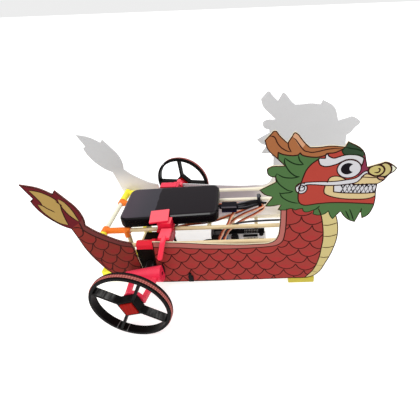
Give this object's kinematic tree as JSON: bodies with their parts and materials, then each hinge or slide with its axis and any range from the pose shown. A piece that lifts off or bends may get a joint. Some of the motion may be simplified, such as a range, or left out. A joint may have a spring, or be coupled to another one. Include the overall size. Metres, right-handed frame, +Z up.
{
  "type": "dragon boat",
  "caption": "Wheeled model dragon boat: two flat printed dragon cut-outs on a wooden dowel frame with printed joints, a power bank, a control board and two free-turning wheels",
  "frame": {"origin": "on the floor, under the middle of the boat's length, midway between the two side panels", "axes": "+X from the tail to the dragon's head, +Y to the boat's left side, +Z up"},
  "size_m": [0.4395, 0.3121, 0.235],
  "materials": {
    "printed_card": "printed card, satin, plain pale grey inside",
    "dowel_wood": "raw birch dowel",
    "clear_straw": "milky clear plastic",
    "yellow_print": "printed plastic, satin",
    "orange_print": "printed plastic, satin",
    "red_print": "printed plastic, satin with layer lines",
    "black_print": "printed plastic, satin",
    "servo_case": "moulded plastic, satin",
    "rubber_band": "dull rubber band",
    "bank_shell": "smooth satin-gloss plastic",
    "black_cable": "flexible cable jacket, satin",
    "servo_lead": "flat wire, brown, red and orange cores",
    "board_laminate": "white lacquered laminate",
    "blue_terminal": "blue moulded plastic"
  },
  "bodies": {
    "hull": {"side_panel_right": "printed_card", "side_panel_left": "printed_card", "inner_rail_right": "dowel_wood", "inner_rail_left": "dowel_wood", "gunwale_rail_right": "dowel_wood", "gunwale_rail_left": "dowel_wood", "bottom_rail_right": "dowel_wood", "bottom_rail_left": "dowel_wood", "rear_post_right": "dowel_wood", "rear_post_left": "dowel_wood", "rear_cross_dowel": "dowel_wood", "tray_dowel_rear": "dowel_wood", "tray_dowel_front": "dowel_wood", "bank_dowel_rear": "dowel_wood", "bank_dowel_front": "dowel_wood", "front_crossbar": "dowel_wood", "rear_straw": "clear_straw", "rear_corner_right": "yellow_print", "rear_corner_left": "yellow_print", "rear_shoe_right": "yellow_print", "rear_shoe_left": "yellow_print", "front_foot_right": "yellow_print", "front_foot_left": "yellow_print", "post_seat_right": "yellow_print", "post_seat_left": "yellow_print", "rear_tee_right": "orange_print", "rear_tee_left": "orange_print", "bank_clamp_right": "red_print", "bank_clamp_left": "red_print", "rail_sleeve_right": "red_print", "rail_sleeve_left": "red_print", "peg_right": "red_print", "peg_left": "red_print", "leg_carrier_right": "red_print", "leg_carrier_left": "red_print", "servo_right": "servo_case", "servo_left": "servo_case", "pin_header_long": "servo_case", "round_buzzer": "servo_case", "main_chip": "servo_case", "power_jack": "servo_case", "power_bank": "bank_shell", "bank_plug": "black_cable", "bank_cable": "black_cable", "cable_tie": "black_cable", "servo_lead_right": "servo_lead", "servo_lead_left": "servo_lead", "circuit_board": "board_laminate", "board_tray": "board_laminate", "blue_terminal": "blue_terminal"},
    "wheel_right": {"wheel_right": "black_print", "tread_band_right": "rubber_band", "hub_peg_right": "red_print"},
    "wheel_left": {"wheel_left": "black_print", "tread_band_left": "rubber_band", "hub_peg_left": "red_print"}
  },
  "joints": [
    {"name": "wheel_right_axle", "type": "hinge", "parent": "hull", "child": "wheel_right", "pos_m": [-0.0952, -0.146, 0.0503], "axis": [0.1219, 0.9925, 0], "continuous": true},
    {"name": "wheel_left_axle", "type": "hinge", "parent": "hull", "child": "wheel_left", "pos_m": [-0.0827, 0.14, 0.0503], "axis": [0.2079, 0.9781, 0], "continuous": true}
  ]
}
